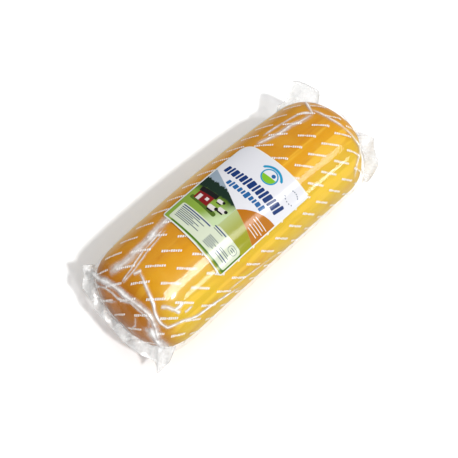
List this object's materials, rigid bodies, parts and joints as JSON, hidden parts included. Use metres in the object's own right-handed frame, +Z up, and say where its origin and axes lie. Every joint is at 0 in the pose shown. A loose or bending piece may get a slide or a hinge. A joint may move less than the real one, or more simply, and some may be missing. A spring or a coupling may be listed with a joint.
{
  "type": "packed smoked cheese loaf",
  "caption": "Long rounded loaf of smoked stretched-curd cheese, sealed in clear printed film with crimped end seals and a curved label.",
  "frame": {"origin": "middle of the whole pack's footprint, on the plane that the pack rests on", "axes": "+Y along the loaf towards the seal with the square tab, +Z up, +X to the right seen from the other seal"},
  "size_m": [0.128, 0.3096, 0.0975],
  "materials": {
    "film": "clear glossy film over smoked yellow-orange cheese, with small white print",
    "label_paper": "coated paper with a gloss varnish, white with green, orange and pale blue fields"
  },
  "bodies": {
    "root": {"film_pack": "film", "label": "label_paper"}
  },
  "joints": []
}
